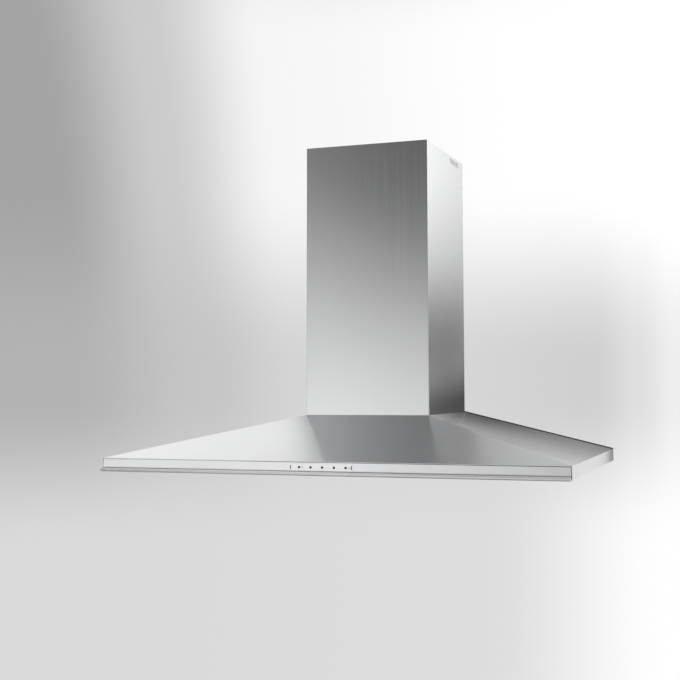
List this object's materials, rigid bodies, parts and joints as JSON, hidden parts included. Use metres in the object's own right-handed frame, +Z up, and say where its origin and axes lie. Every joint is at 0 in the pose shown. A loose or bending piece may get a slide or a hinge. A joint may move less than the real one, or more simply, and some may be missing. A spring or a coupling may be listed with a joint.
{
  "type": "wall mount range hood",
  "caption": "Stainless pyramid canopy with a rectangular telescopic chimney that hangs on a kitchen wall and draws cooking fumes through grease filters into a duct.",
  "frame": {"origin": "middle of the rear lower edge, on the wall plane", "axes": "+X along the wall to the viewer's right when facing the hood, +Y into the wall, +Z up"},
  "size_m": [0.9, 0.511, 0.646],
  "materials": {
    "stainless": "brushed",
    "galvanised": "galvanised sheet",
    "bright_trim": "polished",
    "aluminium": "satin",
    "filter_mesh": "knitted mesh",
    "black_plastic": "matte",
    "grey_plastic": "matte",
    "control_silver": "satin",
    "lamp_glass": "frosted",
    "bulb": "clear",
    "circuit_board": "matte",
    "motor_paint": "satin",
    "screw_steel": "bright zinc"
  },
  "bodies": {
    "hood": {"canopy_shell": "stainless", "rear_panel": "galvanised", "front_fascia": "stainless", "front_lip": "bright_trim", "bottom_pan": "stainless", "pan_screws": "screw_steel", "fascia_screws": "screw_steel", "lower_chimney": "stainless", "air_box": "galvanised", "air_box_screws": "screw_steel", "scroll_left": "grey_plastic", "scroll_right": "grey_plastic", "motor": "motor_paint", "motor_bracket": "galvanised", "motor_screws": "screw_steel", "capacitor": "aluminium", "outlet_collar": "black_plastic", "collar_screws": "screw_steel", "flap_spindle": "screw_steel", "cable_gland": "black_plastic", "control_plate": "control_silver", "switch_block": "black_plastic", "switch_board": "circuit_board", "control_box": "grey_plastic", "control_box_lid": "grey_plastic", "control_board": "circuit_board", "lamp_transformer": "black_plastic", "lamp_lead_left": "black_plastic", "lamp_lead_right": "black_plastic", "switch_lead": "black_plastic", "motor_lead": "black_plastic", "lamp_bezel_left": "bright_trim", "lamp_glass_left": "lamp_glass", "lamp_holder_left": "galvanised", "lamp_bulb_left": "bulb", "lamp_bezel_right": "bright_trim", "lamp_glass_right": "lamp_glass", "lamp_holder_right": "galvanised", "lamp_bulb_right": "bulb"},
    "upper_section": {"upper_chimney": "stainless", "chimney_bracket": "galvanised"},
    "fan": {"fan_wheel": "grey_plastic", "fan_shaft": "screw_steel"},
    "front_flap": {"flap_front": "black_plastic"},
    "rear_flap": {"flap_rear": "black_plastic"},
    "left_filter": {"filter_frame_left": "aluminium", "filter_grille_left": "aluminium", "filter_core_left": "filter_mesh", "filter_handle_left": "black_plastic", "filter_catch_left": "screw_steel"},
    "right_filter": {"filter_frame_right": "aluminium", "filter_grille_right": "aluminium", "filter_core_right": "filter_mesh", "filter_handle_right": "black_plastic", "filter_catch_right": "screw_steel"},
    "lamp_button": {"button_lamp": "black_plastic"},
    "off_button": {"button_off": "black_plastic"},
    "low_button": {"button_low": "black_plastic"},
    "middle_button": {"button_middle": "black_plastic"},
    "high_button": {"button_high": "black_plastic"}
  },
  "joints": [
    {"name": "chimney_slide", "type": "slide", "parent": "hood", "child": "upper_section", "axis": [0, 0, 1], "range_m": [0, 0.4]},
    {"name": "fan_spin", "type": "hinge", "parent": "hood", "child": "fan", "pos_m": [0, -0.124, 0.215], "axis": [1, 0, 0], "continuous": true},
    {"name": "front_flap_hinge", "type": "hinge", "parent": "hood", "child": "front_flap", "pos_m": [0, -0.092, 0.3704], "axis": [-1, 0, 0], "range_deg": [0, 75]},
    {"name": "rear_flap_hinge", "type": "hinge", "parent": "hood", "child": "rear_flap", "pos_m": [0, -0.092, 0.3704], "axis": [1, 0, 0], "range_deg": [0, 75]},
    {"name": "left_filter_hinge", "type": "hinge", "parent": "hood", "child": "left_filter", "pos_m": [-0.156, -0.1085, 0.013], "axis": [1, 0, 0], "range_deg": [0, 70], "deforming": ["filter_catch_left"]},
    {"name": "right_filter_hinge", "type": "hinge", "parent": "hood", "child": "right_filter", "pos_m": [0.156, -0.1085, 0.013], "axis": [1, 0, 0], "range_deg": [0, 70], "deforming": ["filter_catch_right"]},
    {"name": "lamp_press", "type": "slide", "parent": "hood", "child": "lamp_button", "axis": [0, 1, 0], "range_m": [0, 0.0015], "stiffness_N_per_m": 600, "springref_m": -0.001},
    {"name": "off_press", "type": "slide", "parent": "hood", "child": "off_button", "axis": [0, 1, 0], "range_m": [0, 0.0015], "stiffness_N_per_m": 600, "springref_m": -0.001},
    {"name": "low_press", "type": "slide", "parent": "hood", "child": "low_button", "axis": [0, 1, 0], "range_m": [0, 0.0015], "stiffness_N_per_m": 600, "springref_m": -0.001},
    {"name": "middle_press", "type": "slide", "parent": "hood", "child": "middle_button", "axis": [0, 1, 0], "range_m": [0, 0.0015], "stiffness_N_per_m": 600, "springref_m": -0.001},
    {"name": "high_press", "type": "slide", "parent": "hood", "child": "high_button", "axis": [0, 1, 0], "range_m": [0, 0.0015], "stiffness_N_per_m": 600, "springref_m": -0.001}
  ]
}
